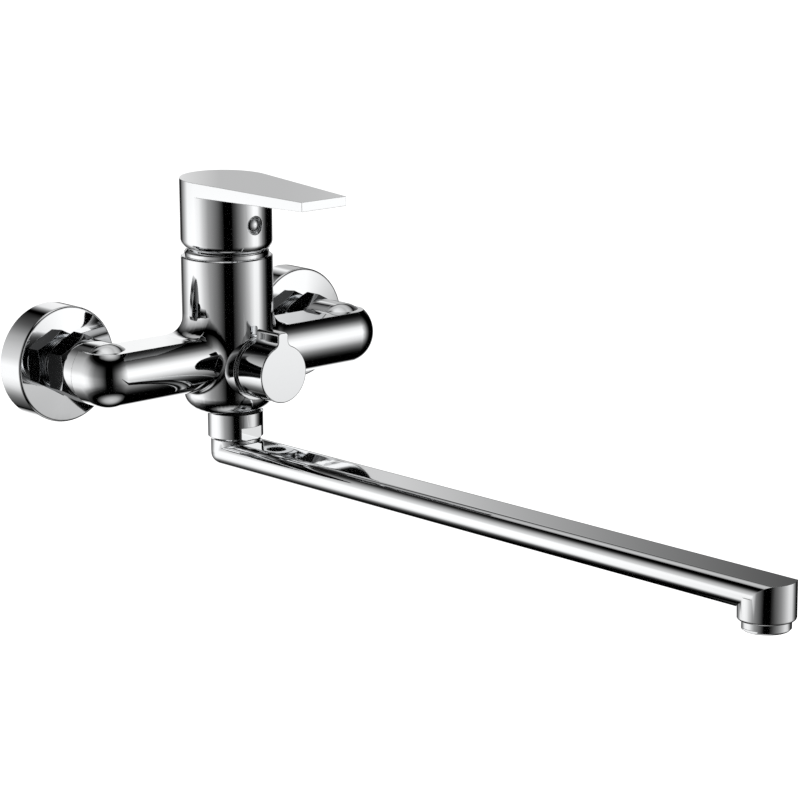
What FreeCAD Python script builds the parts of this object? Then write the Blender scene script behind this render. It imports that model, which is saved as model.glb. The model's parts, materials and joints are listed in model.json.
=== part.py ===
"""Wall-mounted single-lever bath mixer with a long swivel spout, as a parametric document.

Millimetres. X runs to the right for someone facing the wall, +Y goes into the wall and Z is up.
The wall is the plane Y = 0 and the origin lies midway between the two wall threads.
Heights named in the sheet are counted from the tap's inlet axis, which the offset of the
eccentric unions puts below the wall threads, so every tap piece is lowered by union_offset.
"""
import FreeCAD, Part
import math
import os
import re
import Sketcher
from FreeCAD import Rotation, Vector

os.makedirs("parts", exist_ok=True)
doc = FreeCAD.newDocument("BathMixer")

# Driving dimensions, in millimetres and degrees
SIZES = {
    # Connection to the wall
    "inlet_spacing": 150,
    "union_offset": 8,
    "wall_thread_radius": 10.48,
    "wall_thread_length": 15,
    "union_thread_radius": 13.22,
    "union_bore": 6.5,
    "rose_radius": 28.8,
    "rose_wall": 1.2,
    "rose_cone": 1,
    "rose_gap": 4.7,
    "nut_flats": 30,
    "nut_length": 12,
    "nut_shoulder": 2.5,
    "gasket_thickness": 2,
    "tail_flange": 2.5,
    "tail_radius": 10.2,
    # Cast body
    "tap_reach": 48.7,
    "barrel_radius": 22.8,
    "barrel_top": 49.9,
    "barrel_edge": 0.6,
    "barrel_wall": 3.3,
    "barrel_drop": 28.6,
    "barrel_round": 10,
    "arm_radius": 16.4,
    "arm_flat": 11.8,
    "elbow_length": 7.7,
    "neck_length": 15.7,
    "ring_radius": 15.2,
    "root_fillet": 10,
    "root_fillet_low": 2,
    "arm_bore": 6.5,
    "port_radius": 3.2,
    # Mixing cartridge
    "nut_step": 1.8,
    "chamber_floor": 10,
    "nut_seat": 37,
    "disc_thickness": 4,
    "housing_wall": 3.7,
    "slide_travel": 7.2,
    "pivot_height": 36,
    "stem_side": 9,
    "stem_reach": 8,
    "pin_radius": 1.75,
    "lift_angle": 22,
    "neck_step": 1.8,
    "neck_height": 1.9,
    "dome_ledge": 5.2,
    # Lever
    "cap_lip": 53.9,
    "lip_rise": 2.6,
    "cap_round": 5,
    "cap_wall": 2.05,
    "lever_top": 88.9,
    "lever_fall": 3.4,
    "lever_length": 74.3,
    "lever_tip_width": 28,
    "lever_root_thickness": 8,
    "lever_tip_thickness": 4.6,
    "plug_height": 66.8,
    "plug_radius": 4.7,
    "plug_dome": 1.4,
    "plug_depth": 4,
    "grub_radius": 2,
    # Diverter
    "diverter_drop": 4.5,
    "boss_radius": 15.8,
    "boss_length": 23.3,
    "drum_radius": 7.4,
    "spindle_radius": 3.5,
    "gland_radius": 10.8,
    "knob_radius": 14.4,
    "knob_length": 19.1,
    "tab_width": 6.4,
    "tab_height": 20.6,
    "tab_length": 16.5,
    "tab_fillet": 3.5,
    # Swivel spout
    "spout_ahead": 4.6,
    "spout_length": 350,
    "collar_radius": 14,
    "collar_height": 13.2,
    "collar_flats": 25,
    "stub_radius": 8.8,
    "bar_top": 42.9,
    "bar_height": 12.6,
    "bar_half_width": 12.65,
    "bar_round": 5.5,
    "tip_drop": 60.1,
    "outlet_bore": 5.5,
    "bar_bore": 4,
    # Aerator
    "aerator_radius": 10.9,
    "aerator_drop": 64.7,
    "aerator_thread_radius": 9.8,
    # Shower outlet under the right arm
    "shower_offset": 37,
    "shower_setback": 7.7,
    "shower_boss_radius": 12.5,
    "shower_boss_drop": 19.5,
    "shower_thread_radius": 10.48,
    "shower_drop": 28.5,
    # Fits
    "slip": 0.05,
    "gap": 0.3,
}

# Names for sizes worked out from the ones above
WORKED_OUT = {
    "inlet_x": "(inlet_spacing / 2)",
    "nut_corner": "(nut_flats / 2 / cos(30))",
    "arm_back": "(tap_reach - elbow_length)",
    "arm_end": "(tap_reach - neck_length)",
    "nut_front": "(arm_end - 0.5)",
    "nut_back": "(nut_front - nut_length)",
    "tail_face": "(nut_front - nut_shoulder)",
    "tail_depth": "(arm_end + 12)",
    "gasket_front": "(tail_face - tail_flange)",
    "union_front": "(gasket_front - gasket_thickness)",
    "rose_depth": "(nut_back - rose_gap)",
    "crank_back": "2",
    "crank_front": "(rose_depth - 4 * rose_wall)",
    "crank_middle": "((crank_back + crank_front) / 2)",
    "barrel_bottom": "(0 - barrel_drop)",
    "nut_thread_radius": "(barrel_radius - barrel_wall)",
    "chamber_radius": "(nut_thread_radius - nut_step)",
    "rotor_radius": "(chamber_radius - housing_wall)",
    "disc_radius": "(rotor_radius - 0.1)",
    "slide_radius": "(chamber_radius - slide_travel)",
    "port_spread": "slide_radius",
    "port_back": "(port_spread - 2.5)",
    "disc_base": "(chamber_floor + disc_thickness)",
    "slide_base": "(disc_base + disc_thickness)",
    "carrier_base": "(slide_base + disc_thickness)",
    "carrier_top": "(carrier_base + disc_thickness)",
    "rotor_base": "(carrier_top + gap)",
    "rotor_top": "(nut_seat + 6.5)",
    "neck_radius": "(barrel_radius - neck_step)",
    "neck_top": "(barrel_top + neck_height)",
    "dome_radius": "sqrt(neck_radius ^ 2 + (neck_top - pivot_height) ^ 2)",
    "dome_mouth": "(neck_radius - dome_ledge)",
    "mouth_rise": "sqrt(dome_radius ^ 2 - dome_mouth ^ 2)",
    "dome_reach": "(mouth_rise * cos(lift_angle) + dome_mouth * sin(lift_angle))",
    "cap_ceiling": "(pivot_height + dome_reach + gap)",
    "cap_cavity": "(barrel_radius - cap_wall)",
    "lip_plane": "(cap_lip - cap_round + sqrt(cap_round ^ 2 - (cap_round - cap_wall) ^ 2))",
    "plate_base": "(lever_top - lever_root_thickness)",
    "stem_bottom": "(pivot_height - stem_reach - 4)",
    "stem_top": "(plug_height + 7)",
    "diverter_z": "(0 - diverter_drop)",
    "boss_front": "(tap_reach + boss_length)",
    "gland_back": "(boss_front - 10)",
    "knob_back": "(boss_front + 0.4)",
    "knob_front": "(knob_back + knob_length)",
    "shower_reach": "(tap_reach - shower_setback)",
    "spout_reach": "(tap_reach + spout_ahead)",
    "collar_bottom": "(barrel_bottom - 0.1 - collar_height)",
    "spigot_radius": "(stub_radius + 2)",
    "spigot_top": "(barrel_bottom + 8)",
    "stub_top": "(spigot_top + 3)",
    "bar_middle": "(0 - bar_top - bar_height / 2)",
    "nose_radius": "(bar_half_width + gap)",
    "nose_step": "sqrt(nose_radius ^ 2 - bar_half_width ^ 2)",
    "tip_y": "(0 - spout_reach - spout_length)",
    "socket_top": "(0 - tip_drop + 10.5)",
}

AXES = {
    "x": Vector(1, 0, 0),
    "-x": Vector(-1, 0, 0),
    "y": Vector(0, 1, 0),
    "-y": Vector(0, -1, 0),
    "z": Vector(0, 0, 1),
    "-z": Vector(0, 0, -1),
}


def make_sheet():
    """A spreadsheet with one aliased cell for each driving dimension."""
    made = doc.addObject("Spreadsheet::Sheet", "Sizes")
    for row, (alias, number) in enumerate(SIZES.items(), start=1):
        made.set(f"A{row}", alias)
        made.set(f"B{row}", str(number))
        made.setAlias(f"B{row}", alias)
    doc.recompute()
    return made


def cells(text):
    """An expression in which each name of a size points at its cell in the sheet."""
    def swap(match):
        name = match[0]
        if name in WORKED_OUT:
            return cells(WORKED_OUT[name])
        return f"Sizes.{name}" if name in SIZES else name
    return re.sub(r"[a-z_]+", swap, str(text))


def value(text):
    """The number that an expression gives now."""
    return float(sheet.evalExpression(cells(text)))


def bind(made, **sizes):
    """Binds properties of an object to expressions."""
    for name, text in sizes.items():
        made.setExpression(name, cells(text))
    return made


def place(made, at=(0, 0, 0), along="z", turn=0):
    """Puts an object's own Z axis along a direction, with its origin at a place."""
    spin = Rotation(Vector(0, 0, 1), turn)
    made.Placement.Rotation = Rotation(Vector(0, 0, 1), AXES[along]).multiply(spin)
    for axis, text in zip("xyz", at):
        made.setExpression(f".Placement.Base.{axis}", cells(text))
    made.addProperty("App::PropertyString", "HeightText")
    made.HeightText = str(at[2])
    return made


def new(kind):
    """A new object of the document."""
    return doc.addObject(kind, kind.split("::")[1])


def cylinder(radius, height, at=(0, 0, 0), along="z"):
    return place(bind(new("Part::Cylinder"), Radius=radius, Height=height), at, along)


def ball(radius, at):
    return place(bind(new("Part::Sphere"), Radius=radius), at)


def box(size, at):
    """A box with its lowest corner at a place."""
    length, width, height = size
    return place(bind(new("Part::Box"), Length=length, Width=width, Height=height), at)


def hexagon(corner, height, at, along, turn):
    made = new("Part::Prism")
    made.Polygon = 6
    return place(bind(made, Circumradius=corner, Height=height), at, along, turn)


def ring(major, minor, at, along="z"):
    return place(bind(new("Part::Torus"), Radius1=major, Radius2=minor), at, along)


def fuse(*pieces):
    made = new("Part::MultiFuse")
    made.Shapes = list(pieces)
    made.Refine = True
    return made


def cut(base, *tools):
    made = new("Part::Cut")
    made.Base = base
    made.Tool = tools[0] if len(tools) == 1 else fuse(*tools)
    made.Refine = True
    return made


def common(first, second):
    made = new("Part::Common")
    made.Base = first
    made.Tool = second
    made.Refine = True
    return made


def rounded(base, radius, wanted):
    """Fillets the edges for which wanted(edge) is true."""
    doc.recompute()
    found = [
        (index, value(radius), value(radius))
        for index, edge in enumerate(base.Shape.Edges, start=1)
        if not edge.Degenerated and wanted(edge)
    ]
    if not found:
        raise RuntimeError(f"no edge to round on {base.Name}")
    made = new("Part::Fillet")
    made.Base = base
    made.Edges = found
    return made


def ring_edge(radius, height):
    """A test for the circular edges about Z with a radius at a height of the tap."""
    def test(edge):
        curve = edge.Curve
        if curve.TypeId != "Part::GeomCircle":
            return False
        level = abs(curve.Center.z - value(height)) < 0.01
        return level and abs(curve.Radius - value(radius)) < 0.01
    return test


def origin_plane(body, role):
    return next(item for item in body.Origin.OriginFeatures if item.Role == role)


def arc_centre(start, end, radius, side):
    """The centre of the short arc between two points, to the left (1) or right (-1) of the chord."""
    chord = end - start
    reach = math.sqrt(max(radius**2 - (chord.Length / 2) ** 2, 0))
    normal = Vector(-chord.y, chord.x, 0).normalize()
    return (start + end) * 0.5 + normal * reach * side


def draw(sketch, outline):
    """Draws a closed outline whose corners are bound to expressions.

    A corner is (across, up), or (across, up, radius, side) where an arc of that radius comes
    into it from the corner before, with its centre to the left (1) or right (-1) of the chord.
    """
    points = [Vector(value(item[0]), value(item[1]), 0) for item in outline]
    for index, item in enumerate(outline):
        start, end = points[index - 1], points[index]
        if len(item) == 2:
            sketch.addGeometry(Part.LineSegment(start, end))
            continue
        radius, side = value(item[2]), item[3]
        centre = arc_centre(start, end, radius, side)
        middle = centre + ((start + end) * 0.5 - centre).normalize() * radius
        sketch.addGeometry(Part.Arc(start, middle, end))
    for index, item in enumerate(outline):
        flipped = len(item) == 4 and item[3] < 0
        end_point = 1 if flipped else 2
        following = outline[(index + 1) % len(outline)]
        start_point = 2 if len(following) == 4 and following[3] < 0 else 1
        after = (index + 1) % len(outline)
        sketch.addConstraint(Sketcher.Constraint("Coincident", index, end_point, after, start_point))
        for kind, text in (("DistanceX", item[0]), ("DistanceY", item[1])):
            if value(text) == 0:
                line = -2 if kind == "DistanceX" else -1
                sketch.addConstraint(Sketcher.Constraint("PointOnObject", index, end_point, line))
                continue
            number = sketch.addConstraint(
                Sketcher.Constraint(kind, -1, 1, index, end_point, value(text)))
            sketch.setExpression(f"Constraints[{number}]", cells(text))
        if len(item) == 4:
            number = sketch.addConstraint(Sketcher.Constraint("Radius", index, value(item[2])))
            sketch.setExpression(f"Constraints[{number}]", cells(item[2]))


def sketch_on(body, role, outline):
    sketch = body.newObject("Sketcher::SketchObject", "Outline")
    sketch.AttachmentSupport = [(origin_plane(body, role), "")]
    sketch.MapMode = "FlatFace"
    draw(sketch, outline)
    return sketch


def turned(outline, at=(0, 0, 0), along="z"):
    """A solid turned about its own Z axis from an outline of (radius, height) corners."""
    body = new("PartDesign::Body")
    sketch = sketch_on(body, "XZ_Plane", outline)
    turn = body.newObject("PartDesign::Revolution", "Turn")
    turn.Profile = sketch
    turn.ReferenceAxis = (sketch, ["V_Axis"])
    turn.Angle = 360
    sketch.Visibility = False
    return place(body, at, along)


def padded(role, outline, length, at=(0, 0, 0), both_ways=False):
    """A solid pushed out from an outline on one of the body's own planes."""
    body = new("PartDesign::Body")
    pad = body.newObject("PartDesign::Pad", "Pad")
    pad.Profile = sketch_on(body, role, outline)
    pad.Midplane = both_ways
    bind(pad, Length=length)
    return place(body, at)


def sleeve(outer, inner, low, high, at, along="z"):
    """A plain ring from one height to another along its axis."""
    outline = [(inner, low), (outer, low), (outer, high), (inner, high)]
    return turned(outline, at, along)


NODES = []


def node(made, label, on_wall=False):
    """Names a finished sub-part and lowers it from the wall threads to the inlet axis."""
    made.Label = label
    height = getattr(made, "HeightText", "0")
    drop = "0" if on_wall else "union_offset"
    made.setExpression(".Placement.Base.z", cells(f"{height} - {drop}"))
    NODES.append(made)


# Connection to the wall


def wall_rose(side, name):
    """Round cover plate: a thin cup with a faintly conical face, open at the back, sliding on the union."""
    rim = "0 - rose_depth"
    front = "0 - rose_depth - rose_cone"
    hole = "union_thread_radius + gap"
    outline = [
        ("rose_radius", "0"),
        ("rose_radius", f"{rim} + rose_wall"),
        ("rose_radius - rose_wall", rim, "rose_wall", -1),
        (hole, front),
        (hole, f"{rim} + 3 * rose_wall"),
        (f"{hole} + rose_wall", f"{rim} + 3 * rose_wall"),
        (f"{hole} + rose_wall", f"{front} + rose_wall"),
        ("rose_radius - rose_wall", f"{rim} + rose_wall"),
        ("rose_radius - rose_wall", "0"),
    ]
    node(turned(outline, (f"{side} * inlet_x", "0", "0"), "y"), f"wall_rose_{name}")


def eccentric_union(side, name):
    """Brass crank union: wall thread at the top, larger tap thread one offset lower."""
    across = f"{side} * inlet_x"
    high = "union_offset"
    crank = new("Part::Loft")
    crank.Sections = [
        place(bind(new("Part::Circle"), Radius="wall_thread_radius"), (across, "0 - crank_back", high), "y"),
        place(bind(new("Part::Circle"), Radius="union_thread_radius"), (across, "0 - crank_front", "0"), "y"),
    ]
    crank.Solid = True
    stud = cylinder("wall_thread_radius", "wall_thread_length + crank_back",
                    (across, "0 - crank_back", high), "y")
    front = cylinder("union_thread_radius", "union_front - crank_front",
                     (across, "0 - crank_front", "0"), "-y")
    way_in = cylinder("union_bore", "wall_thread_length + crank_middle + 2",
                      (across, "0 - crank_middle - 1", high), "y")
    way_out = cylinder("union_bore", "union_front - crank_middle + 1",
                       (across, "0 - crank_middle", "0"), "-y")
    node(cut(fuse(crank, stud, front), way_in, way_out), f"eccentric_union_{name}")


def union_nut(side, name):
    """Loose hexagon nut with both ends chamfered, which pulls the tail onto the gasket."""
    at = (f"{side} * inlet_x", "0", "0")
    flats = "nut_flats / 2"
    outline = [
        ("union_thread_radius + slip", "0 - nut_back"),
        (flats, "0 - nut_back"),
        ("nut_corner", "0 - nut_back - 1.4"),
        ("nut_corner", "1.4 - nut_front"),
        (flats, "0 - nut_front"),
        ("tail_radius + gap", "0 - nut_front"),
        ("tail_radius + gap", "nut_shoulder - nut_front"),
        ("union_thread_radius + slip", "nut_shoulder - nut_front"),
    ]
    stock = hexagon("nut_corner", "nut_front", at, "-y", 30)
    node(common(turned(outline, at, "y"), stock), f"union_nut_{name}")


def inlet_tail(side, name):
    """Flanged sleeve screwed into the body's arm; its flange carries the loose nut."""
    outline = [
        ("union_bore", "0 - gasket_front"),
        ("union_thread_radius - gap", "0 - gasket_front"),
        ("union_thread_radius - gap", "0 - tail_face"),
        ("tail_radius", "0 - tail_face"),
        ("tail_radius", "0.2 - tail_depth"),
        ("union_bore", "0.2 - tail_depth"),
    ]
    at = (f"{side} * inlet_x", "0", "0")
    node(turned(outline, at, "y"), f"inlet_tail_{name}")
    washer = sleeve("union_thread_radius - gap", "union_bore + 0.5",
                    "0 - gasket_front", "0 - union_front", at, "y")
    node(washer, f"inlet_gasket_{name}")


# Cast body


def on_barrel(edge):
    """True for an edge that lies where the arm meets the side of the barrel."""
    low = value("barrel_bottom + barrel_round") + 0.01
    high = value("barrel_top") - 0.5
    for point in edge.discretize(9):
        reach = math.hypot(point.x, point.y + value("tap_reach"))
        if abs(reach - value("barrel_radius")) > 0.01 or not low < point.z < high:
            return False
    return edge.Curve.TypeId != "Part::GeomLine"


def soft_root(base):
    """Blends the arm into the barrel: wide along the flat top, fading out towards the underside."""
    doc.recompute()
    wide = value("root_fillet")
    thin = value("root_fillet_low")
    found = []
    for index, edge in enumerate(base.Shape.Edges, start=1):
        if edge.Degenerated or not on_barrel(edge):
            continue
        heights = [edge.valueAt(edge.FirstParameter).z, edge.valueAt(edge.LastParameter).z]
        ends = [wide if height > 0 else thin for height in heights]
        found.append((index, *ends))
    made = new("Part::Fillet")
    made.Base = base
    made.Edges = found
    return made


def body_casting():
    """Upright barrel and two arms with flat tops; one half is blended, then mirrored."""
    back = "0 - tap_reach"
    barrel = cylinder("barrel_radius", "barrel_top + barrel_drop", ("0", back, "barrel_bottom"))
    arm = cylinder("arm_radius", "inlet_x", ("0", back, "0"), "x")
    corner = ball("arm_radius", ("inlet_x", back, "0"))
    elbow = cylinder("arm_radius", "tap_reach - arm_back", ("inlet_x", back, "0"), "y")
    over = box(("inlet_spacing", "4 * arm_radius", "arm_radius"),
               ("0", "0 - tap_reach - 2 * arm_radius", "arm_flat"))
    solid = fuse(barrel, cut(fuse(arm, corner, elbow), over))
    keep = box(("inlet_spacing", "4 * barrel_radius", "barrel_top + barrel_drop + 2"),
               ("0", "0 - tap_reach - 2 * barrel_radius", "barrel_bottom - 1"))
    half = common(solid, keep)
    soft_foot = rounded(half, "barrel_round", ring_edge("barrel_radius", "barrel_bottom"))
    right = soft_root(soft_foot)
    left = new("Part::Mirroring")
    left.Source = right
    left.Normal = Vector(1, 0, 0)
    rings = [
        cylinder("ring_radius", "tap_reach - arm_end", (f"{side} * inlet_x", back, "0"), "y")
        for side in (-1, 1)
    ]
    boss = cylinder("boss_radius", "boss_front - tap_reach", ("0", back, "diverter_z"), "-y")
    shower = cylinder("shower_boss_radius", "shower_boss_drop - 2",
                      ("shower_offset", "0 - shower_reach", "-2"), "-z")
    whole = fuse(right, left, *rings, boss, shower)
    whole.Refine = False
    return whole


def waterways():
    """Everything bored out of the casting."""
    back = "0 - tap_reach"
    cavity = turned([
        ("0", "chamber_floor"),
        ("chamber_radius", "chamber_floor"),
        ("chamber_radius", "nut_seat"),
        ("nut_thread_radius", "nut_seat"),
        ("nut_thread_radius", "barrel_top + 1"),
        ("0", "barrel_top + 1"),
    ], ("0", back, "0"))
    top_edge = turned([
        ("barrel_radius - barrel_edge", "barrel_top"),
        ("barrel_radius", "barrel_top - barrel_edge"),
        ("barrel_radius + 1", "barrel_top - barrel_edge"),
        ("barrel_radius + 1", "barrel_top + 1"),
        ("barrel_radius - barrel_edge", "barrel_top + 1"),
    ], ("0", back, "0"))
    ways = [cavity, top_edge]
    for side in (-1, 1):
        across = f"{side} * inlet_x"
        inward = "x" if side < 0 else "-x"
        ways.append(cylinder("tail_radius + slip", "12.5", (across, "0 - tail_depth", "0"), "y"))
        ways.append(cylinder("arm_bore", "tap_reach - arm_end", (across, back, "0"), "y"))
        ways.append(cylinder("arm_bore", "inlet_x - port_spread + 1", (across, back, "0"), inward))
        ways.append(cylinder("port_radius", "chamber_floor + 1", (f"{side} * port_spread", back, "0")))
    ways.append(cylinder("port_radius", "chamber_floor + diverter_drop + 1",
                         ("0", "port_back - tap_reach", "diverter_z")))
    ways.append(cylinder("drum_radius + gap", "boss_front - tap_reach + 13",
                         ("0", "13 - tap_reach", "diverter_z"), "-y"))
    ways.append(cylinder("gland_radius + slip", "11", ("0", "0 - gland_back", "diverter_z"), "-y"))
    ways.append(cylinder("spigot_radius + slip", "stub_top - barrel_bottom + 2",
                         ("0", "0 - spout_reach", "barrel_bottom - 1")))
    ways.append(cylinder("outlet_bore", "0 - barrel_bottom - diverter_drop",
                         ("0", "0 - spout_reach", "barrel_bottom")))
    ways.append(cylinder("port_radius - 0.2", "shower_offset",
                         ("0", "6 - tap_reach", "0 - arm_bore - port_radius - gap"), "x"))
    ways.append(cylinder("shower_thread_radius - 2 + slip", "shower_boss_drop - 11",
                         ("shower_offset", "0 - shower_reach", "-11"), "-z"))
    return ways


def mixer_body():
    node(cut(body_casting(), *waterways()), "mixer_body")


def shower_nipple():
    """Threaded hose outlet, screwed into the boss under the right arm."""
    outline = [
        ("5.5", "-13"),
        ("shower_thread_radius - 2", "-13"),
        ("shower_thread_radius - 2", "0 - shower_boss_drop"),
        ("shower_thread_radius", "0 - shower_boss_drop"),
        ("shower_thread_radius", "1 - shower_drop"),
        ("shower_thread_radius - 1", "0 - shower_drop"),
        ("5.5", "0 - shower_drop"),
    ]
    node(turned(outline, ("shower_offset", "0 - shower_reach", "0")), "shower_nipple")


# Mixing cartridge

PORTS = (
    ("left", "0 - port_spread", "0"),
    ("right", "port_spread", "0"),
    ("outlet", "0", "port_back"),
)


def ported(disc, low, height, radius):
    """Bores the three water ports through a disc of the cartridge."""
    holes = [
        cylinder(radius, height, (across, f"{back} - tap_reach", low))
        for _, across, back in PORTS
    ]
    return cut(disc, *holes)


def cartridge_base():
    """Plastic foot of the cartridge with a seal in a counterbore round each port."""
    at = ("0", "0 - tap_reach", "0")
    outer = sleeve("chamber_radius - slip", "1", "chamber_floor", "disc_base", at)
    bored = ported(outer, "chamber_floor", "disc_thickness", "port_radius")
    seats = ported(bored, "chamber_floor", "1.5", "port_radius + 1.5")
    node(seats, "cartridge_base")
    for name, across, back in PORTS:
        seal = sleeve("port_radius + 1.4", "port_radius", "chamber_floor", "chamber_floor + 1.5",
                      (across, f"{back} - tap_reach", "0"))
        node(seal, f"port_seal_{name}")


def fixed_disc():
    """Ceramic disc that stays on the foot; its ports open upward."""
    at = ("0", "0 - tap_reach", "0")
    plain = sleeve("disc_radius", "1", "disc_base", "slide_base", at)
    node(ported(plain, "disc_base", "disc_thickness", "port_radius - 0.2"), "fixed_disc")


def moving_disc():
    """Ceramic disc with a mixing hollow underneath, and the plastic carrier that drags it."""
    at = ("0", "0 - tap_reach", "0")
    plain = cylinder("slide_radius", "disc_thickness - slip", ("0", at[1], "slide_base + slip"))
    hollow = cylinder("port_radius + 1.5", "2", ("0", "3 - tap_reach", "slide_base"))
    node(cut(plain, hollow), "moving_disc")
    block = cylinder("slide_radius", "disc_thickness", ("0", at[1], "carrier_base"))
    slot = box(("stem_side + 2 * gap", "stem_side + 2 * gap", "disc_thickness"),
               ("0 - stem_side / 2 - gap", "0 - tap_reach - stem_side / 2 - gap", "carrier_base + 1"))
    node(cut(block, slot), "disc_carrier")


def cartridge_housing():
    """Plastic shell round the discs and the rotor, held down on its shoulder by the nut."""
    outline = [
        ("slide_radius + 5.3", "disc_base"),
        ("chamber_radius - slip", "disc_base"),
        ("chamber_radius - slip", "nut_seat"),
        ("rotor_radius + slip + 1.2", "nut_seat"),
        ("rotor_radius + slip + 1.2", "rotor_top + 1.7"),
        ("rotor_radius - 2", "rotor_top + 1.7"),
        ("rotor_radius - 2", "rotor_top + gap"),
        ("rotor_radius + slip", "rotor_top + gap"),
        ("rotor_radius + slip", "rotor_base"),
        ("slide_radius + 5.3", "rotor_base"),
    ]
    node(turned(outline, ("0", "0 - tap_reach", "0")), "cartridge_housing")


def cartridge_rotor():
    """Turning block in the housing, with a slot in which the stem swings on its pin."""
    at = ("0", "0 - tap_reach", "0")
    outline = [
        ("0", "rotor_base"),
        ("rotor_radius", "rotor_base"),
        ("rotor_radius", "rotor_top"),
        ("rotor_radius - 2 - gap", "rotor_top"),
        ("rotor_radius - 2 - gap", "rotor_top + 1.7"),
        ("0", "rotor_top + 1.7"),
    ]
    swing = "(stem_side / 2 / cos(lift_angle) + 12 * tan(lift_angle) + gap)"
    slot = box(("stem_side + 2 * gap", f"2 * {swing}", "rotor_top - rotor_base + 4"),
               ("0 - stem_side / 2 - gap", f"0 - tap_reach - {swing}", "rotor_base - 1"))
    bore = cylinder("pin_radius", "2 * rotor_radius", ("0 - rotor_radius", at[1], "pivot_height"), "x")
    node(cut(turned(outline, at), slot, bore), "cartridge_rotor")
    pin = cylinder("pin_radius", "2 * rotor_radius - 2",
                   ("1 - rotor_radius", at[1], "pivot_height"), "x")
    node(pin, "stem_pivot_pin")


def lever_stem():
    """Square steel stem that swings on the pin, with a round foot in the carrier's slot."""
    half = "stem_side / 2"
    at = ("0 - stem_side / 2", f"0 - tap_reach - {half}", "stem_bottom + 4")
    post = box(("stem_side", "stem_side", "stem_top - stem_bottom - 4"), at)
    foot = cylinder("stem_side / 2 - 1", "5", ("0", "0 - tap_reach", "stem_bottom - 0.2"))
    hole = cylinder("pin_radius + slip", "stem_side + 2",
                    ("0 - stem_side / 2 - 1", "0 - tap_reach", "pivot_height"), "x")
    node(cut(fuse(post, foot), hole), "lever_stem")


def cartridge_nut():
    """Brass ring nut that presses the cartridge onto its seals, with spanner slots on top."""
    at = ("0", "0 - tap_reach", "0")
    outline = [
        ("rotor_radius + slip + 1.2 + gap", "nut_seat"),
        ("nut_thread_radius - slip", "nut_seat"),
        ("nut_thread_radius - slip", "barrel_top - 3"),
        ("rotor_radius + slip + 1.2 + gap", "barrel_top - 3"),
    ]
    slots = [
        box(("2 * nut_thread_radius", "3", "3"),
            ("0 - nut_thread_radius", "0 - tap_reach - 1.5", "barrel_top - 5")),
        box(("3", "2 * nut_thread_radius", "3"),
            ("-1.5", "0 - tap_reach - nut_thread_radius", "barrel_top - 5")),
    ]
    node(cut(turned(outline, at), *slots), "cartridge_nut")


def dome_cover():
    """Chromed neck ring over the nut; above its straight side it is ball-shaped about the stem's pivot."""
    mouth = "pivot_height + mouth_rise"
    skirt = "nut_thread_radius - 1"
    outline = [
        (skirt, "barrel_top - 2.8"),
        ("nut_thread_radius - slip", "barrel_top - 2.8"),
        ("nut_thread_radius - slip", "barrel_top"),
        ("neck_radius", "barrel_top"),
        ("neck_radius", "neck_top"),
        ("dome_mouth", mouth, "dome_radius", 1),
        ("dome_mouth - 0.6", f"{mouth} - 0.6"),
        (skirt, f"{mouth} - 4"),
    ]
    node(turned(outline, ("0", "0 - tap_reach", "0")), "dome_cover")


# Lever


def lever_plate():
    """Flat top of the lever: a round end over the cap, straight sides to a narrower tip."""
    run = "sqrt(lever_length ^ 2 + (lever_tip_width / 2) ^ 2)"
    lean = (f"asin(barrel_radius / {run}) - asin(lever_tip_width / 2 / {run})")
    across = f"barrel_radius * cos({lean})"
    ahead = f"0 - barrel_radius * sin({lean})"
    tip = "0 - lever_length"
    plan = [
        ("0 - lever_tip_width / 2", tip),
        ("lever_tip_width / 2", tip),
        (across, ahead),
        ("0", "barrel_radius", "barrel_radius", 1),
        (f"0 - {across}", ahead, "barrel_radius", 1),
    ]
    upright = padded("XY_Plane", plan, "lever_top", ("0", "0 - tap_reach", "0"))
    side = [
        ("barrel_radius + 1", "plate_base"),
        ("barrel_radius + 1", "lever_top"),
        ("0 - lever_length - 1", "lever_top - lever_fall"),
        ("0 - lever_length - 1", "lever_top - lever_fall - lever_tip_thickness"),
        ("0 - barrel_radius", "plate_base"),
    ]
    slab = padded("YZ_Plane", side, "3 * barrel_radius", ("0", "0 - tap_reach", "0"), True)
    return common(upright, slab)


def lip_edge(edge):
    """True for the sloping edge round the bottom of the cap."""
    slope = value("lip_rise / (2 * barrel_radius)")
    for point in edge.discretize(9):
        behind = point.y + value("tap_reach")
        level = value("lip_plane") + slope * behind
        reach = math.hypot(point.x, behind)
        if abs(point.z - level) > 0.01 or abs(reach - value("barrel_radius")) > 0.01:
            return False
    return True


def lever_cap():
    """Solid cap with a rounded lip that rises to the rear, where the cap dips as it is lifted."""
    at = ("0", "0 - tap_reach", "0")
    drum = cylinder("barrel_radius", "plate_base + 1", at)
    below = padded("YZ_Plane", [
        ("-2 * barrel_radius", "0"),
        ("2 * barrel_radius", "0"),
        ("2 * barrel_radius", "lip_plane + lip_rise"),
        ("-2 * barrel_radius", "lip_plane - lip_rise"),
    ], "3 * barrel_radius", at, True)
    return rounded(cut(drum, below), "cap_round", lip_edge)


def lever_handle():
    """Cap over the cartridge and flat lever in one casting, with the screw hole in front."""
    at = ("0", "0 - tap_reach", "0")
    cavity = cylinder("cap_cavity", "cap_ceiling", at)
    half = "(stem_side / 2 + slip)"
    socket = box((f"2 * {half}", f"2 * {half}", "stem_top - cap_ceiling + 1 + slip"),
                 (f"0 - {half}", f"0 - tap_reach - {half}", "cap_ceiling - 1"))
    screw_way = cylinder("grub_radius + slip", "barrel_radius", ("0", at[1], "plug_height"), "-y")
    plug_seat = cylinder("plug_radius", "plug_depth + 1",
                         ("0", "0 - tap_reach - barrel_radius + plug_depth", "plug_height"), "-y")
    solid = fuse(lever_cap(), lever_plate())
    solid.Refine = False
    node(cut(solid, cavity, socket, screw_way, plug_seat), "lever_handle")


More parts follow.
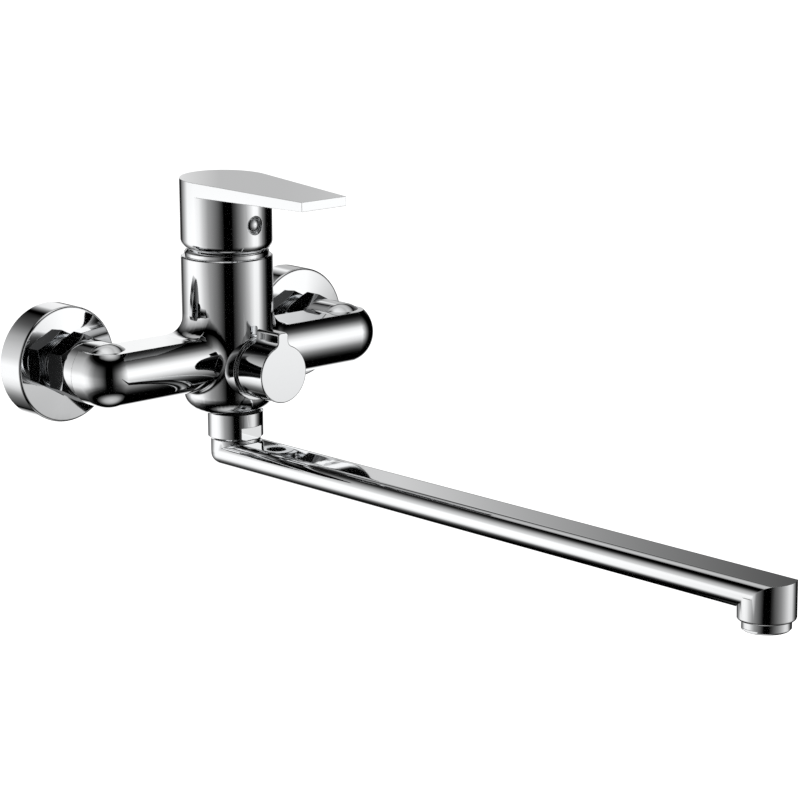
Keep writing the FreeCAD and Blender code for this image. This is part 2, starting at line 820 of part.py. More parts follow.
def lever_screw():
    """Grub screw on the stem, and the small domed plug that closes its hole."""
    head = "0 - tap_reach - stem_side / 2 - slip"
    outline = [
        ("0", "0"),
        ("grub_radius - 0.6", "0"),
        ("grub_radius", "0.6"),
        ("grub_radius", "8"),
        ("0", "8"),
    ]
    screw = turned(outline, ("0", head, "plug_height"), "-y")
    key = hexagon("1.1", "3", ("0", f"{head} - 5.5", "plug_height"), "-y", 0)
    node(cut(screw, key), "lever_grub_screw")
    seat = "0 - tap_reach - barrel_radius + plug_depth"
    plug = turned([
        ("0", "0"),
        ("plug_radius - slip", "0"),
        ("plug_radius - slip", "1"),
        ("plug_radius - 1", "1"),
        ("plug_radius - 1", "plug_depth - plug_dome"),
        ("0", "plug_depth", "((plug_radius - 1) ^ 2 + plug_dome ^ 2) / (2 * plug_dome)", 1),
    ], ("0", seat, "plug_height"), "-y")
    node(plug, "lever_plug")


# Diverter


def diverter_gland():
    """Brass gland screwed into the boss; it guides the spindle and holds its O-ring."""
    bore = "spindle_radius + slip"
    outline = [
        (bore, "gland_back"),
        ("gland_radius", "gland_back"),
        ("gland_radius", "boss_front"),
        ("gland_radius - 4", "boss_front"),
        ("gland_radius - 4", "boss_front + 4"),
        (bore, "boss_front + 4"),
        (bore, "boss_front - 3"),
        ("spindle_radius + 2", "boss_front - 3"),
        ("spindle_radius + 2", "boss_front - 5"),
        (bore, "boss_front - 5"),
    ]
    at = ("0", "0", "diverter_z")
    node(turned(outline, at, "-y"), "diverter_gland")
    seal = ring("spindle_radius + 1", "0.9", ("0", "4 - boss_front", "diverter_z"), "-y")
    node(seal, "spindle_o_ring")


def diverter_spindle():
    """Spindle with a drum; the drum's cut-away side opens the spout or the shower way."""
    outline = [
        ("0", "tap_reach - 11"),
        ("drum_radius", "tap_reach - 11"),
        ("drum_radius", "gland_back - gap"),
        ("spindle_radius", "gland_back - gap"),
        ("spindle_radius", "knob_front - 4"),
        ("0", "knob_front - 4"),
    ]
    shaft = turned(outline, ("0", "0", "diverter_z"), "-y")
    window = box(("2 * drum_radius", "12", "drum_radius"),
                 ("0 - drum_radius", "0 - spout_reach - 5", "diverter_z - drum_radius - 3"))
    node(cut(shaft, window), "diverter_spindle")


def tab_corner(edge):
    """True for the two inner corners where the thumb tab meets the round of the knob."""
    ends = [vertex.Point for vertex in edge.Vertexes]
    if edge.Curve.TypeId != "Part::GeomLine" or abs(ends[0].y - ends[1].y) < 1:
        return False
    reach = math.hypot(ends[0].x, ends[0].z - value("diverter_z"))
    return abs(reach - value("knob_radius")) < 0.1


def tab_top(edge):
    """True for the two long edges along the top of the thumb tab."""
    ends = [vertex.Point for vertex in edge.Vertexes]
    top = value("diverter_z + tab_height")
    along = abs(ends[0].y - ends[-1].y) > 1
    return along and all(abs(point.z - top) < 0.01 for point in ends)


def front_rim(edge):
    """True for the edges round the knob's front face."""
    front = value("0 - knob_front")
    return all(abs(point.y - front) < 0.01 for point in edge.discretize(5))


def diverter_knob():
    """Round knob with a thumb tab on top, hollow behind to cover the gland."""
    at = ("0", "0 - knob_back", "diverter_z")
    disc = cylinder("knob_radius", "knob_front - knob_back", at, "-y")
    tab = box(("tab_width", "tab_length", "tab_height"),
              ("0 - tab_width / 2", "0 - knob_front", "diverter_z"))
    solid = fuse(disc, tab)
    smooth = rounded(solid, "tab_fillet", tab_corner)
    topped = rounded(smooth, "tab_width / 4", tab_top)
    soft = rounded(topped, "0.6", front_rim)
    hollow = cylinder("gland_radius - 4 + 2 * gap", "6", ("0", "1 - knob_back", "diverter_z"), "-y")
    bore = cylinder("spindle_radius + slip", "knob_front - knob_back - 3", at, "-y")
    node(cut(soft, hollow, bore), "diverter_knob")


# Swivel spout

O_RING_LEVELS = ("collar_bottom + 3", "barrel_bottom + 2")


def spout_collar():
    """Collar screwed under the body, with two spanner flats; the spout turns in its bore."""
    at = ("0", "0 - spout_reach", "0")
    bore = "stub_radius + slip"
    top = "barrel_bottom - 0.1"
    plain = turned([
        (bore, "collar_bottom"),
        ("collar_radius - 1", "collar_bottom"),
        ("collar_radius", "collar_bottom + 1"),
        ("collar_radius", top),
        ("spigot_radius + 1.6", top),
        ("spigot_radius + 1.6", f"{top} - 1.5"),
        ("spigot_radius", f"{top} - 1.5"),
        ("spigot_radius", "spigot_top"),
        (bore, "spigot_top"),
    ], at)
    span = ("2 * collar_radius", "collar_radius", "collar_height / 2")
    flats = [
        box(span, ("0 - collar_radius", f"0 - spout_reach + {start}", "collar_bottom"))
        for start in ("collar_flats / 2", "0 - collar_flats / 2 - collar_radius")
    ]
    node(cut(plain, *flats), "spout_collar")
    washer = sleeve("spigot_radius + 1.5", "spigot_radius + slip", f"{top} - 1.5", "barrel_bottom", at)
    node(washer, "collar_gasket")


def spout_bar():
    """Flat bar of the spout: large soft edges that run out at the crisp round nose."""
    half = "bar_half_width"
    shoulder = "0 - spout_length - nose_step"
    plan = [
        (f"0 - {half}", shoulder),
        ("0", "0 - spout_length - nose_radius", "nose_radius", 1),
        (half, shoulder, "nose_radius", 1),
        (half, "0"),
        ("0", half, half, 1),
        (f"0 - {half}", "0", half, 1),
    ]
    bar = padded("XY_Plane", plan, "bar_height", ("0", "0 - spout_reach", "0 - bar_top - bar_height"))

    def long_edge(edge):
        points = edge.discretize(5)
        level = max(point.z for point in points) - min(point.z for point in points) < 0.001
        return level and any(point.y > value("tip_y") for point in points)
    return rounded(bar, "bar_round", long_edge)


def spout():
    """Long swivel spout: grooved stub, riser, flat bar and outlet end, hollow throughout."""
    base = ("0", "0 - spout_reach", "0")
    end = ("0", "tip_y", "0")
    riser = turned([
        ("0", "bar_middle"),
        ("bar_half_width", "bar_middle"),
        ("bar_half_width", "collar_bottom - gap"),
        ("stub_radius", "collar_bottom - gap"),
        ("stub_radius", "stub_top"),
        ("0", "stub_top"),
    ], base)
    tip = turned([
        ("0", "0 - tip_drop"),
        ("nose_radius - 1.2", "0 - tip_drop"),
        ("nose_radius", "1.2 - tip_drop", "1.2", 1),
        ("nose_radius", "bar_middle"),
        ("0", "bar_middle"),
    ], end)
    way_down = cylinder("outlet_bore", "stub_top - bar_middle", ("0", base[1], "bar_middle"))
    way_along = cylinder("bar_bore", "spout_length", ("0", base[1], "bar_middle"), "-y")
    socket = cylinder("aerator_thread_radius + slip", "socket_top + tip_drop", ("0", "tip_y", "0 - tip_drop"))
    pocket = cylinder("aerator_thread_radius - 2", "bar_middle + bar_bore + 0.5 - socket_top",
                      ("0", "tip_y", "socket_top"))
    grooves = [
        cut(cylinder("stub_radius + 1", "2.2", ("0", base[1], low)),
            cylinder("stub_radius - 1.6", "2.2", ("0", base[1], low)))
        for low in O_RING_LEVELS
    ]
    clip = cut(cylinder("stub_radius + 1", "1.2", ("0", base[1], "spigot_top + gap")),
               cylinder("stub_radius - 1", "1.2", ("0", base[1], "spigot_top + gap")))
    solid = fuse(riser, spout_bar(), tip)
    node(cut(solid, way_down, way_along, socket, pocket, *grooves, clip), "spout")


def spout_seals():
    """Two O-rings and the split clip that keeps the spout in its collar."""
    at = "0 - spout_reach"
    for name, low in zip(("lower", "upper"), O_RING_LEVELS):
        seal = ring("stub_radius - 0.8", "0.8", ("0", at, f"{low} + 1.1"))
        node(seal, f"spout_o_ring_{name}")
    band = sleeve("stub_radius + 1", "stub_radius - 1 + slip", "spigot_top + gap + 0.1",
                  "spigot_top + gap + 1.1", ("0", at, "0"))
    split = box(("4", "2 * stub_radius", "3"), ("-2", f"{at} - 3 * stub_radius", "spigot_top - 0.5"))
    node(cut(band, split), "spout_clip")


# Aerator


def aerator():
    """Screwed outlet ring with a gasket on top and a plastic mesh insert inside."""
    at = ("0", "tip_y", "0")
    seat = "0 - tip_drop - 0.2"
    ring_body = turned([
        ("aerator_thread_radius - 2.2", "0 - aerator_drop"),
        ("aerator_radius - 0.8", "0 - aerator_drop"),
        ("aerator_radius", "0.8 - aerator_drop"),
        ("aerator_radius", seat),
        ("aerator_thread_radius", seat),
        ("aerator_thread_radius", "socket_top - 1.6"),
        ("aerator_thread_radius - 1.2", "socket_top - 1.6"),
        ("aerator_thread_radius - 1.2", "2 - aerator_drop"),
        ("aerator_thread_radius - 2.2", "2 - aerator_drop"),
    ], at)
    flats = [
        box(("4", "8", "2"), (start, "tip_y - 4", "0 - aerator_drop - 0.6"))
        for start in ("aerator_radius - 0.9", "0 - aerator_radius - 3.1")
    ]
    node(cut(ring_body, *flats), "aerator_ring")
    insert = turned([
        ("0", "2.1 - aerator_drop"),
        ("aerator_thread_radius - 1.2 - slip", "2.1 - aerator_drop"),
        ("aerator_thread_radius - 1.2 - slip", "socket_top - 1.6"),
        ("aerator_thread_radius - 3", "socket_top - 1.6"),
        ("0", "socket_top - 2.6"),
    ], at)
    holes = []
    for radius, count in ((2.2, 6), (4.6, 12)):
        for index in range(count):
            angle = 2 * math.pi * index / count
            across = f"{radius * math.cos(angle):.4f}"
            ahead = f"tip_y + {radius * math.sin(angle):.4f}"
            holes.append(cylinder("0.7", "20", (across, ahead, "0 - aerator_drop")))
    node(cut(insert, *holes), "aerator_insert")
    washer = sleeve("aerator_thread_radius - slip", "aerator_thread_radius - 2",
                    "socket_top - 1.5", "socket_top", at)
    node(washer, "aerator_gasket")


def write_nodes():
    """Checks every object and writes one file for each sub-part."""
    doc.recompute()
    for item in doc.Objects:
        if {"Invalid", "Error"} & set(item.State):
            raise RuntimeError(f"{item.Name} ({item.Label}) did not build")
    for made in NODES:
        shape = made.Shape
        if shape.isNull() or not shape.isValid() or shape.Volume <= 0:
            raise RuntimeError(f"{made.Label} is not a valid solid")
        if len(shape.Solids) != 1:
            raise RuntimeError(f"{made.Label} has {len(shape.Solids)} solids")
        shape.exportStep(f"parts/{made.Label}.step")


sheet = make_sheet()
for side, name in ((-1, "left"), (1, "right")):
    wall_rose(side, name)
    eccentric_union(side, name)
    union_nut(side, name)
    inlet_tail(side, name)
mixer_body()
shower_nipple()
cartridge_base()
fixed_disc()
moving_disc()
cartridge_housing()
cartridge_rotor()
lever_stem()
cartridge_nut()
dome_cover()
lever_handle()
lever_screw()
diverter_gland()
diverter_spindle()
diverter_knob()
spout_collar()
spout()
spout_seals()
aerator()
write_nodes()
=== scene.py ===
"""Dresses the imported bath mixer: chrome, brass, rubber and plastic, cut threads, cast run-outs and a studio.

Metres. X runs to the right for someone facing the wall, +Y goes into the wall and Z is up.
"""
import json
import math

import bpy
import numpy as np
from mathutils import Matrix, Vector


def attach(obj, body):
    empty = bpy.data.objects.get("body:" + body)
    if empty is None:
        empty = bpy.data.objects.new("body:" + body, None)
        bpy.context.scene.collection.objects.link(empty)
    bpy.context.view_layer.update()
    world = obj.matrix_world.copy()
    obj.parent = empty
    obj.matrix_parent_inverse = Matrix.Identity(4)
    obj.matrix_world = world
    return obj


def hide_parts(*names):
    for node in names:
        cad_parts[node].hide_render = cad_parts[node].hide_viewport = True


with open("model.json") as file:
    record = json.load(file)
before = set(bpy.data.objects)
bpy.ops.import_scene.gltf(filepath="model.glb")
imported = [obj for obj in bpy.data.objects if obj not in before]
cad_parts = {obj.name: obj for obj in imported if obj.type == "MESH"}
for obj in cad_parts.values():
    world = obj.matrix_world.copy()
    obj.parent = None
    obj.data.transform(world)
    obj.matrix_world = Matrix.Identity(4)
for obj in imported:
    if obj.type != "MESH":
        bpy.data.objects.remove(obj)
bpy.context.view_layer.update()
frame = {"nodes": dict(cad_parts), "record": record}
NODES = frame["nodes"]
SLOTS = {entry["node"]: entry["material_slot"] for entry in frame["record"]["subparts"]}

bl_info = {
    "name": "Bath mixer finishes",
    "version": (1, 0, 0),
    "blender": (4, 5, 0),
    "location": "3D View > Sidebar > Bath mixer",
    "description": "Finishes, cut threads and a studio for a wall-mounted bath mixer",
    "category": "Object",
}

MM = 0.001


# Sizes and colours that a user would change

class MixerFinish(bpy.types.PropertyGroup):
    """Colours and polish of the tap's materials."""

    chrome_colour: bpy.props.StringProperty(
        name="Chrome", description="Reflection colour of the chrome plate, as sRGB hex", default="F4F5F6")
    nut_colour: bpy.props.StringProperty(
        name="Nut chrome", description="Reflection colour of the turned union nuts, as sRGB hex",
        default="C9CBCD")
    brass_colour: bpy.props.StringProperty(
        name="Brass", description="Reflection colour of bare turned brass, as sRGB hex", default="D8B568")
    steel_colour: bpy.props.StringProperty(
        name="Steel", description="Reflection colour of stainless steel, as sRGB hex", default="C4C4C2")
    rubber_colour: bpy.props.StringProperty(
        name="Rubber", description="Colour of the seals, as sRGB hex", default="1B1B1C")
    plastic_colour: bpy.props.StringProperty(
        name="Plastic", description="Colour of moulded plastic, as sRGB hex", default="E4E3DE")
    ceramic_colour: bpy.props.StringProperty(
        name="Ceramic", description="Colour of the lapped discs, as sRGB hex", default="F1EEE8")
    chrome_roughness: bpy.props.FloatProperty(
        name="Chrome roughness", description="How much the polished plate blurs what it mirrors",
        default=0.03, min=0.0, max=1.0, subtype="FACTOR")
    chrome_edge: bpy.props.FloatProperty(
        name="Chrome edge", description="Rounding of the plated castings' edges",
        default=0.4 * MM, unit="LENGTH")
    crease_angle: bpy.props.FloatProperty(
        name="Crease angle", description="Edges sharper than this stay crisp",
        default=math.radians(28), subtype="ANGLE")


class MixerThread(bpy.types.PropertyGroup):
    """Pipe threads on the unions and on the shower outlet."""

    pitch: bpy.props.FloatProperty(
        name="Pitch", description="Distance from crest to crest of the pipe thread",
        default=1.814 * MM, unit="LENGTH")
    depth: bpy.props.FloatProperty(
        name="Depth", description="Height of the thread from root to crest",
        default=1.1 * MM, unit="LENGTH")
    turns: bpy.props.IntProperty(
        name="Points per turn", description="Points round each ring of a threaded pipe", default=72)


class MixerStage(bpy.types.PropertyGroup):
    """Camera and studio round the tap."""

    lens: bpy.props.FloatProperty(
        name="Lens", description="Focal length on a 36 mm sensor, in millimetres", default=135.9,
        unit="CAMERA")
    tent_radius: bpy.props.FloatProperty(
        name="Tent radius", description="Radius of the light tent that the chrome mirrors",
        default=1.2, unit="LENGTH")
    floor_drop: bpy.props.FloatProperty(
        name="Floor", description="How far the pale floor lies below the tap", default=1.3, unit="LENGTH")


# Materials. Real grain and tool marks are finer than a tenth of a millimetre, too fine to show, so
# they are drawn as coarse as the sizes below.

EDGE_SAMPLES = 6


def linear(hex_colour):
    """An sRGB hex colour as linear RGBA."""
    parts = [int(hex_colour[start:start + 2], 16) / 255 for start in (0, 2, 4)]
    return [part / 12.92 if part <= 0.04045 else ((part + 0.055) / 1.055) ** 2.4 for part in parts] + [1.0]


def add_node(tree, kind, links=None, **settings):
    """Adds a node; settings are its properties, and links maps inputs to sockets or to plain values."""
    made = tree.nodes.new(kind)
    for name, setting in settings.items():
        setattr(made, name, setting)
    for name, source in (links or {}).items():
        if isinstance(source, bpy.types.NodeSocket):
            tree.links.new(source, made.inputs[name])
        else:
            made.inputs[name].default_value = source
    return made


def surface(name, **values):
    """A new material with a Principled shader whose sockets get plain values; returns both."""
    material = bpy.data.materials.new(name)
    material.use_nodes = True
    shader = material.node_tree.nodes["Principled BSDF"]
    for socket, setting in values.items():
        shader.inputs[socket.replace("_", " ")].default_value = setting
    return material, shader


def ripple(material, shader, size_mm, distance_mm, strength, detail=2.0, edge=0.15 * MM):
    """Bump from noise whose features have a real size, in Object coordinates.

    The bump lies on a normal that is rounded at edges, so that a cast or turned edge catches the light.
    """
    tree = material.node_tree
    place = add_node(tree, "ShaderNodeTexCoord").outputs["Object"]
    noise = add_node(tree, "ShaderNodeTexNoise",
                     {"Vector": place, "Scale": 1 / (size_mm * MM), "Detail": detail})
    rounded = add_node(tree, "ShaderNodeBevel", {"Radius": edge}, samples=EDGE_SAMPLES)
    bump = add_node(tree, "ShaderNodeBump",
                    {"Height": noise.outputs["Fac"], "Strength": strength, "Distance": distance_mm * MM,
                     "Normal": rounded.outputs["Normal"]})
    tree.links.new(bump.outputs["Normal"], shader.inputs["Normal"])
    return place


def patches(material, shader, place, socket, size_mm, low, high, detail=3.0):
    """Lets a value wander between two limits in soft patches of a real size."""
    tree = material.node_tree
    noise = add_node(tree, "ShaderNodeTexNoise",
                     {"Vector": place, "Scale": 1 / (size_mm * MM), "Detail": detail})
    spread = add_node(tree, "ShaderNodeMapRange",
                      {"Value": noise.outputs["Fac"], "From Min": 0.3, "From Max": 0.7,
                       "To Min": low, "To Max": high})
    tree.links.new(spread.outputs["Result"], shader.inputs[socket])


def polished_chrome(finish):
    """Bright chrome plate on polished cast brass: a clean mirror with a trace of buffing waviness."""
    material, shader = surface("polished_chrome_plate", Base_Color=linear(finish.chrome_colour), Metallic=1.0)
    place = ripple(material, shader, size_mm=14, distance_mm=0.05, strength=0.012, edge=finish.chrome_edge)
    rough = finish.chrome_roughness
    patches(material, shader, place, "Roughness", size_mm=22, low=rough * 0.6, high=rough * 1.5)
    return material


def turned_chrome(finish):
    """Chrome plate on a turned brass nut: duller than the castings, with fine tool marks."""
    material, shader = surface("turned_chrome_plate", Base_Color=linear(finish.nut_colour), Metallic=1.0)
    place = ripple(material, shader, size_mm=6, distance_mm=0.05, strength=0.02)
    patches(material, shader, place, "Roughness", size_mm=5, low=0.05, high=0.1)
    return material


def turned_brass(finish):
    """Bare turned brass: warm yellow metal, slightly tarnished, with a lathe's soft grain."""
    material, shader = surface("turned_brass", Base_Color=linear(finish.brass_colour), Metallic=1.0)
    place = ripple(material, shader, size_mm=1.2, distance_mm=0.03, strength=0.08)
    patches(material, shader, place, "Roughness", size_mm=7, low=0.22, high=0.40)
    tree = material.node_tree
    tarnish = add_node(tree, "ShaderNodeTexNoise", {"Vector": place, "Scale": 1 / (9 * MM), "Detail": 5.0})
    tone = add_node(tree, "ShaderNodeValToRGB", {"Fac": tarnish.outputs["Fac"]})
    tone.color_ramp.elements[0].color = linear("A9833F")
    tone.color_ramp.elements[0].position = 0.30
    tone.color_ramp.elements[1].color = linear(finish.brass_colour)
    tone.color_ramp.elements[1].position = 0.62
    tree.links.new(tone.outputs["Color"], shader.inputs["Base Color"])
    return material


def stainless_steel(finish):
    """Machined stainless steel: grey metal with a satin grain."""
    material, shader = surface("machined_stainless_steel", Base_Color=linear(finish.steel_colour),
                               Metallic=1.0)
    place = ripple(material, shader, size_mm=0.8, distance_mm=0.02, strength=0.06)
    patches(material, shader, place, "Roughness", size_mm=4, low=0.24, high=0.36)
    return material


def black_rubber(finish):
    """Moulded nitrile rubber: near black, dull, with a faint bloom."""
    material, shader = surface("moulded_nitrile_rubber", Base_Color=linear(finish.rubber_colour), IOR=1.52)
    place = ripple(material, shader, size_mm=0.9, distance_mm=0.05, strength=0.15)
    patches(material, shader, place, "Roughness", size_mm=5, low=0.55, high=0.8)
    return material


def white_plastic(finish):
    """Moulded acetal: off-white, waxy, with the faint texture of its mould."""
    material, shader = surface("moulded_acetal", Base_Color=linear(finish.plastic_colour), IOR=1.48,
                               Subsurface_Weight=0.05)
    place = ripple(material, shader, size_mm=0.7, distance_mm=0.03, strength=0.1)
    patches(material, shader, place, "Roughness", size_mm=6, low=0.35, high=0.5)
    return material


def lapped_ceramic(finish):
    """Lapped alumina: hard white ceramic, ground almost to a mirror."""
    material, shader = surface("lapped_alumina", Base_Color=linear(finish.ceramic_colour), IOR=1.76)
    place = ripple(material, shader, size_mm=2, distance_mm=0.01, strength=0.05)
    patches(material, shader, place, "Roughness", size_mm=3, low=0.08, high=0.16)
    return material


MAKERS = {
    "chrome": polished_chrome,
    "nut_chrome": turned_chrome,
    "brass": turned_brass,
    "steel": stainless_steel,
    "rubber": black_rubber,
    "plastic": white_plastic,
    "ceramic": lapped_ceramic,
}


def finish_for(slot):
    """The material of a slot of the record, made once."""
    key = f"mixer_{slot}"
    if key not in bpy.context.scene:
        bpy.context.scene[key] = MAKERS[slot](bpy.context.scene.mixer_finish).name
    return bpy.data.materials[bpy.context.scene[key]]


# Shading of the CAD solids

WELD = 0.001 * MM
NORMAL_WEIGHT = 90


def smooth_group(angle):
    """Geometry nodes that join loose facets, shade them smooth and keep edges past an angle crisp."""
    group = bpy.data.node_groups.new("smooth_facets", "GeometryNodeTree")
    group.interface.new_socket("Geometry", in_out="INPUT", socket_type="NodeSocketGeometry")
    group.interface.new_socket("Geometry", in_out="OUTPUT", socket_type="NodeSocketGeometry")
    start = add_node(group, "NodeGroupInput").outputs["Geometry"]
    joined = add_node(group, "GeometryNodeMergeByDistance", {"Geometry": start, "Distance": WELD})
    soft = add_node(group, "GeometryNodeSetShadeSmooth", {"Geometry": joined.outputs["Geometry"]})
    bend = add_node(group, "GeometryNodeInputMeshEdgeAngle").outputs["Unsigned Angle"]
    sharp = add_node(group, "FunctionNodeCompare", operation="GREATER_THAN", data_type="FLOAT")
    group.links.new(bend, sharp.inputs["A"])
    sharp.inputs["B"].default_value = angle
    crisp = add_node(group, "GeometryNodeSetShadeSmooth",
                     {"Geometry": soft.outputs["Geometry"], "Selection": sharp.outputs["Result"],
                      "Shade Smooth": False}, domain="EDGE")
    add_node(group, "NodeGroupOutput", {"Geometry": crisp.outputs["Geometry"]})
    return group


def soften(piece):
    """Smooth shading with crisp edges, by modifiers that leave the mesh as it is."""
    if "smooth_facets" not in bpy.data.node_groups:
        smooth_group(bpy.context.scene.mixer_finish.crease_angle)
    facets = piece.modifiers.new("smooth_facets", "NODES")
    facets.node_group = bpy.data.node_groups["smooth_facets"]
    weigh = piece.modifiers.new("weighted_normals", "WEIGHTED_NORMAL")
    weigh.mode = "FACE_AREA"
    weigh.weight = NORMAL_WEIGHT
    weigh.keep_sharp = True


def dress(node):
    """Gives a CAD solid its finish and smooth shading; the solid itself isn't touched."""
    solid = NODES[node]
    solid.data.materials.clear()
    solid.data.materials.append(finish_for(SLOTS[node]))
    soften(solid)


# Threaded pipes, in millimetres: corners are (distance along the axis, radius, sideways shift)

UNION_WALL = ((-15, 6.5, 0), (-15, 9.4, 0), (-14, 10.48, 0), (2, 10.48, 0), (11, 13.22, -8),
              (24.6, 13.22, -8), (25.5, 12.3, -8), (25.5, 6.5, -8))
UNION_BORE = ((25.4, 6.5, -8), (7, 6.5, -8), (7, 6.5, 0), (-14.9, 6.5, 0))
UNION_THREADS = ((-18, -1), (16, 28))
UNION_SIDE = 75
UNION_AXES = ((1, 0, 0), (0, 0, 1), (0, -1, 0))
OUTLET_WALL = ((13, 5.5, 0), (13, 8.48, 0), (19.5, 8.48, 0), (19.5, 10.48, 0), (27.5, 10.48, 0),
               (28.5, 9.48, 0), (28.5, 5.5, 0))
OUTLET_BORE = ((28.4, 5.5, 0), (13.1, 5.5, 0))
OUTLET_THREADS = ((20, 31),)
OUTLET_PLACE = (37, -41, -8)
OUTLET_AXES = ((1, 0, 0), (0, -1, 0), (0, 0, -1))
ROWS_PER_PITCH = 8
PITCHES_PER_BORE_ROW = 4


def thread_cut(along, spin, spans, thread):
    """How deep the thread cuts at each point.

    A rounded groove, half a cosine wave deep, moves one pitch along the pipe in each turn. It fades
    out over one pitch at both ends of each threaded span.
    """
    groove = 0.5 - 0.5 * np.cos(2 * np.pi * along / thread.pitch - spin)
    fade = np.zeros_like(along)
    for low, high in spans:
        fade = np.maximum(fade, np.clip(np.minimum(along - low, high - along) / thread.pitch, 0, 1))
    return thread.depth * groove * fade


def pipe_rows(corners, step):
    """Rows (distance, radius, sideways shift) along straight runs between corners, a step apart."""
    corners = np.array(corners) * MM
    walked = np.concatenate([[0.0], np.cumsum(np.linalg.norm(np.diff(corners, axis=0), axis=1))])
    count = max(int(walked[-1] / step), 1)
    marks = np.union1d(walked, np.linspace(0.0, walked[-1], count + 1))
    return np.stack([np.interp(marks, walked, column) for column in corners.T], axis=-1)


def threaded_pipe(name, wall, bore, spans, base, axes, thread):
    """A bored pipe with cut threads, as one closed grid of rings.

    The rings follow the outer wall from one end to the other and come back through the bore. A ring
    point lies at the base, plus its distance along the pipe's axis, plus the shift, plus its radius
    turned round the axis; the thread's cut is taken off the radius of the outer wall.
    """
    across, up, ahead = (np.array(axis, dtype=float) for axis in axes)
    outside = pipe_rows(wall, thread.pitch / ROWS_PER_PITCH)
    inside = pipe_rows(bore, thread.pitch * PITCHES_PER_BORE_ROW)
    rows = np.concatenate([outside, inside])
    spin = np.linspace(0, 2 * np.pi, thread.turns, endpoint=False)
    along, angle = np.meshgrid(rows[:, 0], spin, indexing="ij")
    radius = np.broadcast_to(rows[:, 1:2], along.shape).copy()
    spans = [(low * MM, high * MM) for low, high in spans]
    radius[:len(outside)] -= thread_cut(along, angle, spans, thread)[:len(outside)]
    points = (np.array(base) * MM + along[..., None] * ahead + rows[:, 2][:, None, None] * up
              + (radius * np.cos(angle))[..., None] * across + (radius * np.sin(angle))[..., None] * up)
    index = np.arange(along.size).reshape(along.shape)
    after, beside = np.roll(index, -1, axis=0), np.roll(index, -1, axis=1)
    corner = np.roll(after, -1, axis=1)
    faces = np.stack([index, beside, corner, after], axis=-1).reshape(-1, 4)
    mesh = bpy.data.meshes.new(name)
    mesh.from_pydata(points.reshape(-1, 3).tolist(), [], faces.tolist())
    made = bpy.data.objects.new(name, mesh)
    bpy.context.scene.collection.objects.link(made)
    return made


def seat_pipe(piece, node):
    """Puts a threaded pipe in its CAD node's place, with the node's body and the finish of the node's slot."""
    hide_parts(node)
    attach(piece, "tap")
    piece.data.materials.append(finish_for(SLOTS[node]))
    soften(piece)


# Neck run-outs, in millimetres: each neck is a round pipe that stands above its arm's flat top.
# The place is that of the right neck, and the heights are over the arm's axis.

NECK_PLACE = (75, -48.7, -8)
NECK_RADIUS = 15.2
FLAT_HEIGHT = 11.8
RUN_OUT = 11
RUN_OUT_SINK = 0.6
RUN_OUT_ROOT = 2
RUN_OUT_RINGS = 30
RUN_OUT_POINTS = 33


def run_out(name, side):
    """A cast run-out that lets the round neck die into the arm's flat top, as rings closed by two poles.

    A ring is the cap of the neck's circle above a chord just under the flat: height is the root of
    radius squared less sideways distance squared. Half a cosine wave along the run lowers the cap, so
    it leaves the neck level and sinks softly under the flat. A shallow belly closes each ring below.
    """
    run = np.linspace(-RUN_OUT_ROOT, RUN_OUT, RUN_OUT_RINGS)[:-1]
    chord = FLAT_HEIGHT - RUN_OUT_SINK
    wave = 0.5 - 0.5 * np.cos(np.pi * np.clip(run / RUN_OUT, 0, 1))
    drop = ((NECK_RADIUS - chord) * wave)[:, None]
    half = np.sqrt(NECK_RADIUS ** 2 - (chord + drop) ** 2)
    share = np.linspace(-1, 1, RUN_OUT_POINTS)
    cap = np.sqrt(NECK_RADIUS ** 2 - (half * share) ** 2) - drop
    belly = chord - RUN_OUT_SINK * (1 - share[-2:0:-1] ** 2) * np.ones_like(half)
    sideways = half * np.concatenate([share, share[-2:0:-1]])
    height = np.concatenate([cap, belly], axis=1)
    ahead = np.broadcast_to(-run[:, None], height.shape)
    rings = np.stack([sideways, ahead, height], axis=-1)
    poles = np.array([[0, RUN_OUT_ROOT, chord], [0, -RUN_OUT, chord]])
    points = np.concatenate([rings.reshape(-1, 3), poles]) + np.array(NECK_PLACE) * (side, 1, 1)
    index = np.arange(height.size).reshape(height.shape)
    beside = np.roll(index, -1, axis=1)
    wall = np.stack([index[:-1], index[1:], beside[1:], beside[:-1]], axis=-1).reshape(-1, 4)
    back = np.stack([np.full_like(index[0], height.size), index[0], beside[0]], axis=-1)
    front = np.stack([np.full_like(index[0], height.size + 1), beside[-1], index[-1]], axis=-1)
    mesh = bpy.data.meshes.new(name)
    mesh.from_pydata((points * MM).tolist(), [], wall.tolist() + back.tolist() + front.tolist())
    made = bpy.data.objects.new(name, mesh)
    bpy.context.scene.collection.objects.link(made)
    return made


# Operators

class MIXER_OT_dress_solids(bpy.types.Operator):
    """Finishes every solid of the tap with the material of its slot"""

    bl_idname = "mixer.dress_solids"
    bl_label = "Finish the solids"

    def execute(self, context):
        for node in NODES:
            dress(node)
        return {"FINISHED"}


class MIXER_OT_cut_threads(bpy.types.Operator):
    """Cuts pipe threads on the wall unions and on the shower outlet"""

    bl_idname = "mixer.cut_threads"
    bl_label = "Cut the threads"

    def execute(self, context):
        thread = context.scene.mixer_thread
        for side, name in ((-1, "left"), (1, "right")):
            node = f"eccentric_union_{name}"
            pipe = threaded_pipe(f"threaded_union_{name}", UNION_WALL, UNION_BORE, UNION_THREADS,
                                 (UNION_SIDE * side, 0, 0), UNION_AXES, thread)
            seat_pipe(pipe, node)
        outlet = threaded_pipe("threaded_shower_outlet", OUTLET_WALL, OUTLET_BORE, OUTLET_THREADS,
                               OUTLET_PLACE, OUTLET_AXES, thread)
        seat_pipe(outlet, "shower_nipple")
        return {"FINISHED"}


